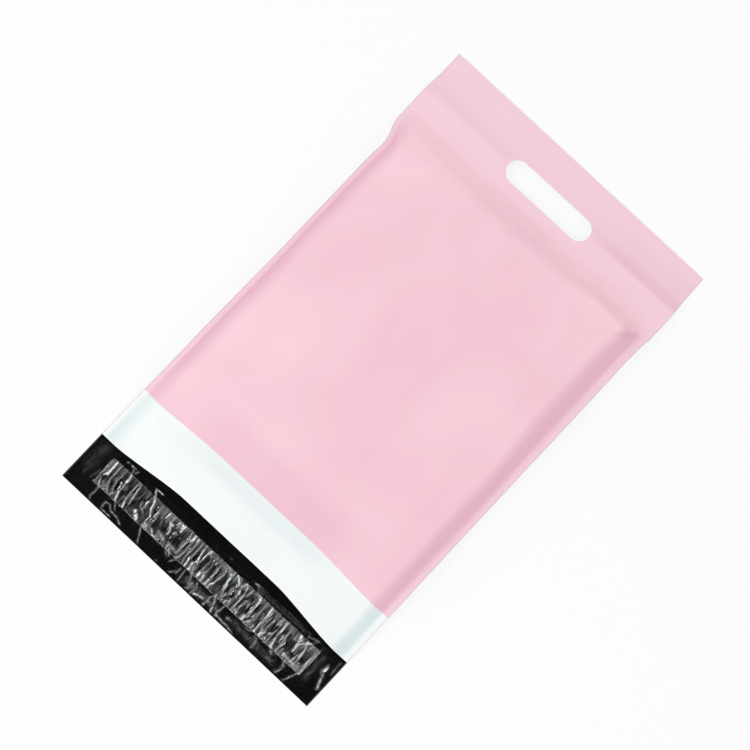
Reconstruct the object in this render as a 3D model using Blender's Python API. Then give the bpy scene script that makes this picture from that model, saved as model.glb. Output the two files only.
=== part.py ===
"""Poly mailer bag with a die-cut hand hole, lying on its back with its sealing flap unfolded.

The bag is one sheet of film. It is folded once at the handle edge, its two plies are welded together
along both sides, and a cross weld closes the pouch off from the handle. The back ply runs on past the
mouth as the flap, which carries a strip of glue under a rippled release liner. The pouch keeps the
shape of the flat goods that it is packed with, and its mouth gapes.

Metres, +Z up, +Y towards the handle. The origin is under the middle of the bag, on the table.
A place on the bag is given in the flat sheet: u across it from the middle, v from the handle edge.
"""
import math

import bmesh
import bpy
from mathutils import Matrix, Vector

# The sheet, laid flat
BAG_WIDTH = 0.254
FRONT_LENGTH = 0.3985
FLAP_LENGTH = 0.0435
FILM = 0.0001
WELD_WIDTH = 0.004
BAND_WIDTH = 0.0465

# Handle
HANDLE_DEPTH = 0.058
PLY_GAP = 0.0002
HOLE_LENGTH = 0.0825
HOLE_WIDTH = 0.0195
HOLE_FROM_EDGE = 0.0376
FOOT_FROM_EDGE = 0.01
RIDGE_FROM_EDGE = 0.032
RIDGE_SLANT = 0.0035
RIDGE_HEIGHT = 0.005
RIDGE_BOW = 2
WELD_HEIGHT = 0.0043

# Packed shape of the pouch. The goods lie nearer to the cross weld at the right corner.
FILL_DEPTH = 0.018
HANDLE_SLOPE = 0.026
CORNER_SLOPE = 0.012
CORNER_REACH = 0.113
CORNER_LENGTH = 0.085
LEFT_SLOPE = 0.013
RIGHT_SLOPE = 0.022
RIGHT_NARROWING = 0.005
NARROWING_START = 0.13
NARROWING_LENGTH = 0.12
CORNER_FULLNESS = 0.35
GOODS_FROM_MOUTH = 0.0905
GOODS_DROP = 0.055
SHOULDER = 0.0105
SEAM_SHARE = 0.4
PULL_LEFT = 0.0033
PULL_RIGHT = 0.001
PULL_FADE = 0.21
NOTCH = 0.0019
NOTCH_FROM_WELD = 0.028
NOTCH_LENGTH = 0.009

# Mouth
GAPE = 0.0075
MOUTH_SLOPE = 0.075
MOUTH_SETBACK = 0.0072
PRINT_SETBACK = 0.003
LIP_FROM_SIDE = 0.021
LIP_CURVE = 0.056

# Gathers that fan out from the ends of the cross weld to the corners of the goods
GATHER_HEIGHT = 0.0011
GATHER_START = 0.009
GATHER_REACH = 0.055
GATHER_FADE = 0.035
GATHER_FOLDS = 3
FOLDS_FULL_AT = 1 / 3

# The deeper fold that runs slantwise in from each end of the cross weld
MITRE_DEPTH = 0.0014
MITRE_WIDTH = 0.0024
MITRE_LEFT = 0.018
MITRE_RIGHT = 0.023
MITRE_FADE = 0.25

# Glue and release liner on the flap
CLEARANCE = 0.0003
GLUE_THICKNESS = 0.00015
GLUE_WIDTH = 0.0235
GLUE_FROM_SIDE = 0.0205
GLUE_FROM_END = 0.013
LINER_THICKNESS = 0.00008
LINER_OVERLAP = 0.0045
LINER_FROM_SIDE = 0.0015
LINER_TAIL = 0.0115

# Ripples of the liner, which are wide at the left end of the glue and narrow in the middle
RIPPLE_LEFT = 0.0058
RIPPLE_MIDDLE = 0.0032
RIPPLE_RIGHT = 0.0044
RIPPLE_NARROWS_AT = -0.064
RIPPLE_WIDENS_AT = 0.03
RIPPLE_CHANGE = 0.016
RIPPLE_HEIGHT = 0.0009
RIPPLE_END = 0.003
RIPPLE_PROFILE = (0.0, 0.75, 1.0, 0.75)

# Spacing of the facets
FINE = 0.0024
MEDIUM = 0.008
COARSE = 0.022

SHEET_LENGTH = FRONT_LENGTH + FLAP_LENGTH
HALF_WIDTH = BAG_WIDTH / 2
SEAL = HALF_WIDTH - WELD_WIDTH
POUCH_START = HANDLE_DEPTH + WELD_WIDTH
PRINT_LENGTH = FRONT_LENGTH - BAND_WIDTH
GOODS_END = FRONT_LENGTH - GOODS_FROM_MOUTH
GLUE_START = SHEET_LENGTH - GLUE_FROM_END - GLUE_WIDTH
GLUE_HALF = HALF_WIDTH - GLUE_FROM_SIDE
LINER_HALF = HALF_WIDTH - LINER_FROM_SIDE
CLEAR_TOP = FILL_DEPTH * 2
OVERSHOOT = 0.006

PINK = (0.890, 0.585, 0.665)
WHITE = (0.900, 0.915, 0.915)
BLACK = (0.010, 0.010, 0.011)


def ease(share):
    """0 to 1, level at both ends."""
    share = min(max(share, 0.0), 1.0)
    return share * share * (3 - 2 * share)


def flank(share):
    """0 to 1, the profile of film that climbs steeply from a weld and rounds over the edge of the goods."""
    arch = math.sin(min(max(share, 0.0), 1.0) * math.pi / 2)
    return (ease(share) + arch) / 2


def spaced(*zones):
    """Places along a line. Each zone is (start, end, spacing), and starts where the last one ends."""
    places = []
    for start, end, spacing in zones:
        steps = max(1, round((end - start) / spacing))
        places += [start + (end - start) * step / steps for step in range(steps)]
    return places + [zones[-1][1]]


def handle_height(u, v):
    """Middle of the handle's plies above the table: its edge lies down, and a slanting crease stands up."""
    rest = FILM + PLY_GAP / 2
    ridge = RIDGE_FROM_EDGE + RIDGE_SLANT * ease((HALF_WIDTH - u) / BAG_WIDTH)
    rise = min(max((v - FOOT_FROM_EDGE) / (ridge - FOOT_FROM_EDGE), 0.0), 1.0)
    fall = (v - ridge) / (HANDLE_DEPTH - ridge)
    return rest + (RIDGE_HEIGHT - rest) * rise ** RIDGE_BOW + (WELD_HEIGHT - RIDGE_HEIGHT) * ease(fall)


def goods_height(v):
    """Top of the front ply along the middle of the pouch: over the goods, then down to the lip."""
    goods = FILL_DEPTH - (FILL_DEPTH - SHOULDER) * ease((v - GOODS_END) / GOODS_DROP)
    lip_start = GOODS_END + GOODS_DROP / 2
    return goods - (SHOULDER - GAPE) * ease((v - lip_start) / (FRONT_LENGTH - lip_start))


def seam_height(u, v):
    """Middle of the side weld above the table."""
    if v <= POUCH_START:
        return handle_height(u, v)
    lift = (SEAM_SHARE * FILL_DEPTH - WELD_HEIGHT) * ease((v - POUCH_START) / HANDLE_SLOPE)
    lowered = ease((v - GOODS_END) / (FRONT_LENGTH - GOODS_END))
    return (WELD_HEIGHT + lift) * (1 - lowered) + FILM * lowered


def end_slope(u):
    """Length of the slope past the cross weld, which is short at the right corner."""
    near_corner = ease((u - SEAL + CORNER_REACH) / CORNER_LENGTH)
    return HANDLE_SLOPE + (CORNER_SLOPE - HANDLE_SLOPE) * near_corner


def opened(u, v):
    """How far the plies stand apart: 0 at the welds, 1 over the goods."""
    spread = ease((v - PRINT_LENGTH) / (FRONT_LENGTH - PRINT_LENGTH))
    right = RIGHT_SLOPE - RIGHT_NARROWING * ease((v - NARROWING_START) / NARROWING_LENGTH)
    left = LEFT_SLOPE + (MOUTH_SLOPE - LEFT_SLOPE) * spread
    right += (MOUTH_SLOPE - right) * spread
    across = flank((u + SEAL) / left) * flank((SEAL - u) / right)
    along = flank((v - POUCH_START) / end_slope(u))
    return min(across, along) * (CORNER_FULLNESS + (1 - CORNER_FULLNESS) * max(across, along))


def gather(u, v):
    """Height of the folds that fan out from the nearer end of the cross weld."""
    along = v - POUCH_START
    across = SEAL - abs(u)
    if along <= 0 or across <= 0:
        return 0.0
    reach = math.hypot(along, across)
    turn = math.atan2(across, along) / (math.pi / 2)
    fade = ease(reach / GATHER_START) * ease((GATHER_REACH - reach) / GATHER_FADE)
    return GATHER_HEIGHT * fade * math.sin(turn * math.pi * GATHER_FOLDS)


def mitre(u, v):
    """Depth of the fold that runs in at 45 degrees from the nearer end of the cross weld."""
    across = HALF_WIDTH - abs(u)
    along = v - HANDLE_DEPTH
    share = (across + along) / 2 / (MITRE_RIGHT if u > 0 else MITRE_LEFT)
    aside = abs(across - along) / math.sqrt(2)
    fade = ease(share / MITRE_FADE) * ease((1 - share) / MITRE_FADE)
    return MITRE_DEPTH * fade * math.exp(-((aside / MITRE_WIDTH) ** 2))


def side_pull(u, v):
    """How far the packed pouch draws its side welds in towards the middle."""
    pull = ease((v - POUCH_START) / HANDLE_SLOPE) * ease((FRONT_LENGTH - v) / PULL_FADE)
    notch = NOTCH * math.exp(-(((v - POUCH_START - NOTCH_FROM_WELD) / NOTCH_LENGTH) ** 2))
    left = (PULL_LEFT * pull + notch) * max(-u / HALF_WIDTH, 0.0)
    return left - PULL_RIGHT * pull * max(u / HALF_WIDTH, 0.0)


def setback(u, v):
    """How far the front ply falls short of the back one, because it climbs over the goods."""
    goods = PRINT_SETBACK * ease((v - POUCH_START) / HANDLE_SLOPE)
    lip = (MOUTH_SETBACK - PRINT_SETBACK) * ease((v - PRINT_LENGTH) / (FRONT_LENGTH - PRINT_LENGTH))
    past_mouth = max(v - FRONT_LENGTH, 0.0) / FLAP_LENGTH
    inward = min(max((HALF_WIDTH - LIP_FROM_SIDE - abs(u)) / LIP_CURVE, 0.0), 1.0)
    return (goods + lip) * (inward + ease(inward)) / 2 * (1 - past_mouth)


def skin(u, v, front):
    """A point on the outside of the film, on its front or its back ply."""
    v = min(max(v, 0.0), SHEET_LENGTH)
    on_pouch = min(v, FRONT_LENGTH)
    middle = seam_height(u, on_pouch)
    apart = opened(u, on_pouch)
    loose = PLY_GAP / 2 * ease((SEAL - abs(u)) / WELD_WIDTH) * ease((HANDLE_DEPTH - v) / WELD_WIDTH)
    x = u + side_pull(u, v)
    y = SHEET_LENGTH / 2 - v
    if not front:
        return Vector((x, y, (middle - FILM - loose) * (1 - apart)))
    raised = (goods_height(on_pouch) - middle - FILM) * apart
    folds = (gather(u, on_pouch) - mitre(u, on_pouch)) * ease(apart / FOLDS_FULL_AT)
    return Vector((x, y + setback(u, v), middle + FILM + loose + raised + folds))


def lining(u, v, front):
    """A point on the inside of the film, one thickness in from its skin."""
    step = FILM * 2
    across = skin(u + step, v, front) - skin(u - step, v, front)
    along = skin(u, v - step, front) - skin(u, v + step, front)
    outward = across.cross(along).normalized()
    return skin(u, v, front) - outward * (FILM if front else -FILM)


def hollow(u, row, front):
    """A point on the room inside the pouch, which opens past the mouth into all that is over the flap."""
    v, past_mouth = row
    point = lining(u, min(v, SHEET_LENGTH), front)
    if past_mouth:
        point.x = u / SEAL * (HALF_WIDTH + OVERSHOOT)
        point.y = SHEET_LENGTH / 2 - v + (setback(u, min(v, SHEET_LENGTH)) if front else 0.0)
        point.z = CLEAR_TOP if front else FILM
    return point


def two_skins(name, columns, rows, place, paint=None):
    """A closed solid between two grids of corners, which place(column, row, front) sets."""
    shape = bmesh.new()
    bmesh.ops.create_grid(shape, x_segments=len(columns) - 1, y_segments=len(rows) - 1, size=1)
    lifted = bmesh.ops.extrude_face_region(shape, geom=list(shape.faces))["geom"]
    for corner in lifted:
        if isinstance(corner, bmesh.types.BMVert):
            corner.co.z = 1.0
    for face in shape.faces:
        middle = face.calc_center_median()
        row = rows[min(int((middle.y + 1) / 2 * (len(rows) - 1)), len(rows) - 2)]
        face.material_index = paint(row, middle.z > 0.75) if paint else 0
    for corner in shape.verts:
        column = columns[round((corner.co.x + 1) / 2 * (len(columns) - 1))]
        row = rows[round((corner.co.y + 1) / 2 * (len(rows) - 1))]
        corner.co = place(column, row, corner.co.z > 0.5)
    bmesh.ops.remove_doubles(shape, verts=shape.verts, dist=FILM / 20)
    bmesh.ops.recalc_face_normals(shape, faces=shape.faces)
    return to_object(name, shape)


def to_object(name, shape):
    mesh = bpy.data.meshes.new(name)
    shape.to_mesh(mesh)
    shape.free()
    mesh.shade_smooth()
    mesh.set_sharp_from_angle(angle=math.radians(40))
    return bpy.data.objects.new(name, mesh)


def material(name, colour, roughness, alpha=1.0):
    finish = bpy.data.materials.new(name)
    finish.use_nodes = True
    shader = finish.node_tree.nodes["Principled BSDF"]
    shader.inputs["Base Color"].default_value = (*colour, 1.0)
    shader.inputs["Roughness"].default_value = roughness
    shader.inputs["Metallic"].default_value = 0.0
    shader.inputs["Alpha"].default_value = alpha
    finish.diffuse_color = (*colour, alpha)
    return finish


def carve(part, cutter, finish):
    """Cut one solid out of another. The cut faces take the cutter's finish."""
    cutter.data.materials.append(finish)
    cutter.hide_render = True
    cutter.display_type = "WIRE"
    cut = part.modifiers.new(cutter.name, "BOOLEAN")
    cut.operation = "DIFFERENCE"
    cut.solver = "EXACT"
    cut.material_mode = "TRANSFER"
    cut.object = cutter


def film_columns():
    return spaced(
        (-HALF_WIDTH, -SEAL, WELD_WIDTH),
        (-SEAL, -SEAL + LEFT_SLOPE, FINE),
        (-SEAL + LEFT_SLOPE, 0.0, COARSE),
        (0.0, SEAL - RIGHT_SLOPE, COARSE),
        (SEAL - RIGHT_SLOPE, SEAL, FINE),
        (SEAL, HALF_WIDTH, WELD_WIDTH),
    )


def handle_rows(start):
    ridge_end = RIDGE_FROM_EDGE + RIDGE_SLANT
    return spaced(
        (start, FOOT_FROM_EDGE, MEDIUM),
        (FOOT_FROM_EDGE, RIDGE_FROM_EDGE, MEDIUM),
        (RIDGE_FROM_EDGE, ridge_end, RIDGE_SLANT),
        (ridge_end, HANDLE_DEPTH - WELD_WIDTH, MEDIUM),
        (HANDLE_DEPTH - WELD_WIDTH, HANDLE_DEPTH, WELD_WIDTH),
    )


def pouch_rows():
    return spaced(
        (POUCH_START, POUCH_START + HANDLE_SLOPE, FINE),
        (POUCH_START + HANDLE_SLOPE, POUCH_START + GATHER_REACH, MEDIUM),
        (POUCH_START + GATHER_REACH, GOODS_END, COARSE),
        (GOODS_END, PRINT_LENGTH, MEDIUM),
        (PRINT_LENGTH, FRONT_LENGTH, MEDIUM),
    )


def hand_hole():
    """A cutter with straight sides and round ends, upright through both plies."""
    sides = 40
    radius = HOLE_WIDTH / 2 / math.cos(math.pi / sides)
    shape = bmesh.new()
    bmesh.ops.create_cone(
        shape, cap_ends=True, segments=sides, radius1=radius, radius2=radius, depth=CLEAR_TOP,
        matrix=Matrix.Rotation(math.pi / sides, 4, "Z"),
    )
    for corner in shape.verts:
        corner.co.x += math.copysign((HOLE_LENGTH - HOLE_WIDTH) / 2, corner.co.x)
    hole = to_object("hand_hole", shape)
    hole.location.y = SHEET_LENGTH / 2 - HOLE_FROM_EDGE
    return hole


def bag_film(cutters):
    """The packed outline, less the room in the pouch, the gap between the handle's plies, and the hole."""
    rows = handle_rows(0.0) + pouch_rows() + [SHEET_LENGTH]
    film = two_skins("bag_film", film_columns(), rows, skin, lambda v, front: int(front and v >= PRINT_LENGTH))
    film.data.materials.append(material("pink_film", PINK, 0.45))
    film.data.materials.append(material("white_band", WHITE, 0.4))

    inner = [column for column in film_columns() if abs(column) < HALF_WIDTH - FILM]
    lip = FRONT_LENGTH + FILM * 2
    room_rows = [(v, False) for v in pouch_rows()] + [(lip, True), (SHEET_LENGTH + OVERSHOOT, True)]
    black = material("black_inside", BLACK, 0.25)
    for cutter in (
        two_skins("pouch_room", inner, room_rows, hollow),
        hand_hole(),
        two_skins("ply_gap", inner, handle_rows(FILM), lining),
    ):
        cutters.objects.link(cutter)
        carve(film, cutter, black)
    return film


def adhesive_strip():
    """A flat ribbon of glue across the inner face of the flap."""
    shape = bmesh.new()
    bmesh.ops.create_cube(shape, size=1)
    bmesh.ops.scale(shape, verts=shape.verts, vec=(GLUE_HALF * 2, GLUE_WIDTH, GLUE_THICKNESS))
    strip = to_object("adhesive_strip", shape)
    middle = GLUE_START + GLUE_WIDTH / 2
    strip.location = (0.0, SHEET_LENGTH / 2 - middle, FILM + CLEARANCE + GLUE_THICKNESS / 2)
    strip.data.materials.append(material("hot_melt_glue", (0.62, 0.60, 0.55), 0.3))
    return strip


def ripple_columns():
    """Places along the glue at each quarter of a ripple, with the share of its height there."""
    columns = []
    place = -GLUE_HALF
    while place + RIPPLE_RIGHT < GLUE_HALF:
        narrow = RIPPLE_LEFT + (RIPPLE_MIDDLE - RIPPLE_LEFT) * ease((place - RIPPLE_NARROWS_AT) / RIPPLE_CHANGE)
        width = narrow + (RIPPLE_RIGHT - RIPPLE_MIDDLE) * ease((place - RIPPLE_WIDENS_AT) / RIPPLE_CHANGE)
        columns += [(place + width * quarter / 4, share) for quarter, share in enumerate(RIPPLE_PROFILE)]
        place += width
    return columns + [(place, 0.0), (GLUE_HALF, 0.0)]


def liner_skin(column, row, front):
    """A point on the liner: down on the flap at its edges, and rippled over the glue."""
    u, ripple = column
    v, full = row
    on_glue = abs(u) < LINER_HALF and GLUE_START <= v <= GLUE_START + GLUE_WIDTH
    raised = GLUE_THICKNESS + CLEARANCE + RIPPLE_HEIGHT * ripple * full if on_glue else 0.0
    thickness = LINER_THICKNESS if front else 0.0
    return Vector((u, SHEET_LENGTH / 2 - v, FILM + CLEARANCE + raised + thickness))


def release_liner():
    """A clear strip that is wider than the glue, with a bare tail to peel it by. Its ripples end round."""
    columns = [(-LINER_HALF, 0.0)] + ripple_columns() + [(LINER_HALF, 0.0)]
    glue_end = GLUE_START + GLUE_WIDTH
    rows = [
        (GLUE_START - LINER_OVERLAP, 0.0),
        (GLUE_START, 0.0),
        (GLUE_START + RIPPLE_END, 1.0),
        (glue_end - RIPPLE_END, 1.0),
        (glue_end, 0.0),
        (glue_end + LINER_TAIL, 0.0),
    ]
    liner = two_skins("release_liner", columns, rows, liner_skin)
    liner.data.materials.append(material("clear_liner", (0.85, 0.86, 0.88), 0.12, alpha=0.35))
    return liner


def main():
    for leftover in list(bpy.data.objects):
        bpy.data.objects.remove(leftover)
    parts = bpy.data.collections.new("poly_mailer_bag")
    cutters = bpy.data.collections.new("poly_mailer_bag_cutters")
    for collection in (parts, cutters):
        bpy.context.scene.collection.children.link(collection)
    for part in (bag_film(cutters), adhesive_strip(), release_liner()):
        parts.objects.link(part)


main()
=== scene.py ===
"""Looks of the poly mailer bag: its film, the glue on its flap and the rippled release liner over it.

Metres, +Z up, +Y towards the handle. A place on the bag is given in the flat sheet: u across it from
the middle, v from the handle edge down to the end of the flap.
"""
import math

import bpy
from mathutils import Matrix, Vector, noise


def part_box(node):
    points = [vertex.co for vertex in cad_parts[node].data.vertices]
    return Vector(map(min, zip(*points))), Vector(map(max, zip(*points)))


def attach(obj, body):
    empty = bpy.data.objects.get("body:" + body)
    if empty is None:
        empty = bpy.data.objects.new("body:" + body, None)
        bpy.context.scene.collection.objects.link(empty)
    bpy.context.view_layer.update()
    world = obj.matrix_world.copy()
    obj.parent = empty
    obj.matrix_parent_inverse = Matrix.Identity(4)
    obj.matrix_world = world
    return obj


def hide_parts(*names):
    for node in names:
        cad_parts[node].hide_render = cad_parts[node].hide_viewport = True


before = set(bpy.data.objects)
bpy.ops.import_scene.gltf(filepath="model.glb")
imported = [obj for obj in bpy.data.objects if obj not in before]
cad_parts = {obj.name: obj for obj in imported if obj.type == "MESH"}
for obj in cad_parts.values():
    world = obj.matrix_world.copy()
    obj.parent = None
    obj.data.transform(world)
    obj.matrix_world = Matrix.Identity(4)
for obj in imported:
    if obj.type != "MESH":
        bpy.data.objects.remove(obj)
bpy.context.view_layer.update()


# The film. One co-extruded sheet, pink outside with a white band left at the mouth, and black inside.
# It is folded once at the handle edge, welded and cut with a hot wire along both sides, closed off from
# the handle by a cross weld, and punched for the hand. The flat goods inside give the pouch its shape.
bag_low, bag_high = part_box("bag_film")
HALF_WIDTH = 0.127
SHEET_LENGTH = bag_high.y - bag_low.y
FRONT_LENGTH = 0.3985
PRINT_LENGTH = 0.352
FILM = 0.0001
WELD_WIDTH = 0.004
SEAL = HALF_WIDTH - WELD_WIDTH

# The handle, with its hole, its slanting crease and the groove of the cross weld
HANDLE_DEPTH = 0.058
POUCH_START = HANDLE_DEPTH + WELD_WIDTH
PLY_GAP = 0.0002
HOLE_LENGTH = 0.0825
HOLE_WIDTH = 0.0195
HOLE_FROM_EDGE = 0.0376
FOOT_FROM_EDGE = 0.01
RIDGE_LEFT = 0.0355
RIDGE_RIGHT = 0.032
RIDGE_HEIGHT = 0.005
CREASE_PAST_RIDGE = 0.0006
CREASE_WIDTH = 0.0011
CREASE_DEPTH = 0.0001
CREASE_DEPTH_RIGHT = 0.00045
CREASE_CRISP_AT = 0.04
CREASE_CRISP_OVER = 0.04
HANDLE_WAVE = 0.0004
WELD_HEIGHT = 0.0043
GROOVE_DEPTH = 0.00022
GROOVE_BEFORE_POUCH = 0.0004
GROOVE_WIDTH = 0.0007

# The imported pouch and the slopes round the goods
FILL_DEPTH = 0.018
HANDLE_SLOPE = 0.021
END_SLOPE = 0.026
END_SLOPE_RIGHT = 0.012
END_SHORTENS_AT = 0.01
END_SHORTENS_OVER = 0.085
END_WAVER = 0.08
LEFT_SLOPE = 0.013
LEFT_WIDENING = 0.15
LEFT_WIDENS_AT = 0.18
LEFT_WIDENS_OVER = 0.08
LEFT_WAVER = 0.10
RIGHT_SLOPE = 0.0205
RIGHT_SLOPE_LOW = 0.0155
RIGHT_NARROWS_AT = 0.13
RIGHT_NARROWS_OVER = 0.12
RIGHT_WAVER = 0.08
CORNER_FULLNESS = 0.35
GOODS_END = 0.308
GOODS_DROP = 0.055
SHOULDER = 0.0105
SEAM_SHARE = 0.4

# The mouth, whose lip climbs over the goods and was cut a little askew
GAPE = 0.0075
MOUTH_SLOPE = 0.075
LIP_FLAT = 0.05
LIP_END = 0.113
MOUTH_SETBACK = 0.0070
MOUTH_SKEW = 0.0004
PRINT_SETBACK = 0.003

# The cut edge, which melts into a bead
BEAD_HEIGHT = 0.00011
BEAD_WIDTH = 0.0003
BEAD_LOSS = 0.00003
BEAD_LOSS_WIDTH = 0.0002
BEAD_STOPS = 0.002

# Small folds of the front ply: gathers that fan out from the ends of the cross weld, puckers and waves
GATHER_HEIGHT = 0.0011
GATHER_START = 0.009
GATHER_REACH = 0.055
GATHER_FADE = 0.035
GATHER_FOLDS = 3
PLATEAU_WAVE = 0.00016
SIDE_PUCKER = 0.00035
END_PUCKER = 0.00022
LIP_WAVE = 0.00045

# Single folds near the ends of the cross weld: height, half width, and where each starts and ends
CORNER_FOLDS = (
    (-0.0014, 0.0014, (0.1275, 0.0575), (0.1045, 0.0805)),
    (0.0008, 0.0022, (0.1225, 0.064), (0.1055, 0.083)),
    (-0.0012, 0.0024, (-0.122, 0.0745), (-0.1085, 0.081)),
    (0.0006, 0.0026, (-0.121, 0.068), (-0.098, 0.078)),
)

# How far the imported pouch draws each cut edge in, at places down the bag
LEFT_EDGE = ((0.0, 0.0), (0.02, 0.0), (0.045, -0.0006), (0.068, -0.0005), (0.091, 0.0052),
             (0.112, 0.0042), (0.19, 0.004), (0.3, 0.0023), (0.4, 0.0002), (0.45, 0.0))
RIGHT_EDGE = ((0.0, 0.0), (0.02, -0.0004), (0.05, -0.0013), (0.062, -0.0012), (0.074, 0.0002),
              (0.09, 0.0007), (0.15, 0.0006), (0.2, 0.0009), (0.3, 0.001), (0.34, 0.0007), (0.4, 0.0),
              (0.45, 0.0))


def ease(share):
    """0 to 1, level at both ends."""
    share = min(max(share, 0.0), 1.0)
    return share * share * (3 - 2 * share)


def along_list(places, v):
    """A value that runs smoothly through a list of (v, value)."""
    for (start, low), (end, high) in zip(places, places[1:]):
        if v <= end:
            return low + (high - low) * ease((v - start) / (end - start))
    return places[-1][1]


def speckle(u, v, across, down, seed):
    """Smooth noise about 0 on the sheet, whose bumps are about across wide and down long."""
    return noise.noise(Vector((u / across, v / down, seed)))


def rumple(u, v, across, down, seed):
    """The same noise, made stronger, so that it runs from about -1 to 1."""
    return speckle(u, v, across, down, seed) * 1.6


def ridge_place(u):
    """How far down the sheet the handle's crease runs. It slants."""
    return RIDGE_LEFT + (RIDGE_RIGHT - RIDGE_LEFT) * ease((u + HALF_WIDTH) / (2 * HALF_WIDTH))


def handle_height(u, v):
    """Middle of the handle's plies above the table: its edge lies down, and a crease stands up."""
    rest = FILM + PLY_GAP / 2
    ridge = ridge_place(u)
    rise = min(max((v - FOOT_FROM_EDGE) / (ridge - FOOT_FROM_EDGE), 0.0), 1.0)
    fall = (v - ridge) / (HANDLE_DEPTH - ridge)
    middle = rest + (RIDGE_HEIGHT - rest) * rise ** 2 + (WELD_HEIGHT - RIDGE_HEIGHT) * ease(fall)
    crisp = ease((u - CREASE_CRISP_AT) / CREASE_CRISP_OVER)
    crease = math.exp(-((v - ridge - CREASE_PAST_RIDGE) / CREASE_WIDTH) ** 2)
    wave = HANDLE_WAVE * rumple(u, v, 0.05, 0.04, 3.0) * rise * ease((HANDLE_DEPTH - v) / 0.02)
    groove = GROOVE_DEPTH * math.exp(-((v - HANDLE_DEPTH + GROOVE_BEFORE_POUCH) / GROOVE_WIDTH) ** 2)
    return middle + wave - (CREASE_DEPTH + CREASE_DEPTH_RIGHT * crisp) * crease - groove


def goods_height(v):
    """Top of the front ply along the middle of the pouch: over the goods, then down to the lip."""
    goods = FILL_DEPTH - (FILL_DEPTH - SHOULDER) * ease((v - GOODS_END) / GOODS_DROP)
    lip_start = GOODS_END + GOODS_DROP / 2
    return goods - (SHOULDER - GAPE) * ease((v - lip_start) / (FRONT_LENGTH - lip_start))


def seam_height(u, v):
    """Middle of the side weld above the table."""
    if v <= POUCH_START:
        return handle_height(u, v)
    lift = (SEAM_SHARE * FILL_DEPTH - WELD_HEIGHT) * ease((v - POUCH_START) / HANDLE_SLOPE)
    lowered = ease((v - GOODS_END) / (FRONT_LENGTH - GOODS_END))
    return (WELD_HEIGHT + lift) * (1 - lowered) + FILM * lowered


def arch(share):
    """0 to 1, steepest where it starts and level at its end, as film rises from a weld."""
    return math.sin(min(max(share, 0.0), 1.0) * math.pi / 2)


def flank(share):
    """0 to 1, the profile of film that climbs from a weld over the edge of the goods."""
    return (ease(share) + arch(share)) / 2


def side_slopes(v):
    """Width of the two slopes beside the goods, which waver a little. The right one narrows down the bag."""
    widened = LEFT_WIDENING * ease((v - LEFT_WIDENS_AT) / LEFT_WIDENS_OVER)
    left = LEFT_SLOPE * (1 + widened + LEFT_WAVER * rumple(0.0, v, 1.0, 0.04, 5.0))
    right = RIGHT_SLOPE + (RIGHT_SLOPE_LOW - RIGHT_SLOPE) * ease((v - RIGHT_NARROWS_AT) / RIGHT_NARROWS_OVER)
    return left, right * (1 + RIGHT_WAVER * rumple(0.0, v, 1.0, 0.05, 7.0))


def near_mouth(v):
    """0 where the print ends, 1 at the mouth."""
    return ease((v - PRINT_LENGTH) / (FRONT_LENGTH - PRINT_LENGTH))


def open_across(u, v):
    """How far the plies stand apart between the side welds."""
    spread = near_mouth(v)
    left, right = side_slopes(v)
    left += (MOUTH_SLOPE - left) * spread
    right += (MOUTH_SLOPE - right) * spread
    return flank((u + SEAL) / left) * flank((SEAL - u) / right)


def open_along(u, v):
    """How far the plies stand apart past the cross weld. The slope is shorter towards the right corner."""
    length = END_SLOPE + (END_SLOPE_RIGHT - END_SLOPE) * ease((u - END_SHORTENS_AT) / END_SHORTENS_OVER)
    length *= 1 + END_WAVER * rumple(u, 0.0, 0.03, 1.0, 9.0)
    share = (v - POUCH_START) / length
    return (2 * ease(share) + arch(share)) / 3


def opened(u, v):
    """How far the plies stand apart: 0 at the welds, 1 over the goods."""
    across = open_across(u, v)
    along = open_along(u, v)
    return min(across, along) * (CORNER_FULLNESS + (1 - CORNER_FULLNESS) * max(across, along))


def fold(u, v, start, end, width):
    """1 along a straight fold from start to end, 0 beside it and past its ends."""
    run = Vector(end) - Vector(start)
    out = Vector((u, v)) - Vector(start)
    share = out.dot(run) / run.length_squared
    aside = abs(out.x * run.y - out.y * run.x) / run.length
    return math.exp(-(aside / width) ** 2) * ease(share / 0.25) * ease((1 - share) / 0.25)


def wrinkles(u, v):
    """Height of the small folds on the front ply, in metres, before they fade out at the welds."""
    share = opened(u, v)
    on_slope = 4 * share * (1 - share)
    down = v - POUCH_START
    side = SEAL - abs(u)
    reach = math.hypot(max(down, 0.0), max(side, 0.0))
    turn = math.atan2(max(side, 0.0), max(down, 1e-6)) / (math.pi / 2)
    fan = ease(reach / GATHER_START) * ease((GATHER_REACH - reach) / GATHER_FADE)
    height = GATHER_HEIGHT * fan * math.sin(turn * math.pi * GATHER_FOLDS + rumple(u, v, 0.02, 0.02, 2.0))
    height += PLATEAU_WAVE * rumple(u, v, 0.06, 0.09, 11.0) * share
    height += SIDE_PUCKER * on_slope * rumple(u, v, 0.02, 0.007, 13.0) * ease(side / 0.012 + 0.2)
    height += END_PUCKER * on_slope * rumple(u, v, 0.008, 0.02, 17.0) * ease((0.11 - v) / 0.03)
    for rise, width, start, end in CORNER_FOLDS:
        height += rise * fold(u, v, start, end, width)
    lip = ease((v - GOODS_END - 0.02) / 0.03)
    height += LIP_WAVE * lip * rumple(u, v, 0.045, 0.02, 19.0) * share
    return height


def edge_pull(u, v):
    """How far the cut edges are drawn in at v, shared out over the half of the sheet that u is in."""
    left = along_list(LEFT_EDGE, v) * max(-u / HALF_WIDTH, 0.0)
    right = along_list(RIGHT_EDGE, v) * max(u / HALF_WIDTH, 0.0)
    return left - right


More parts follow.
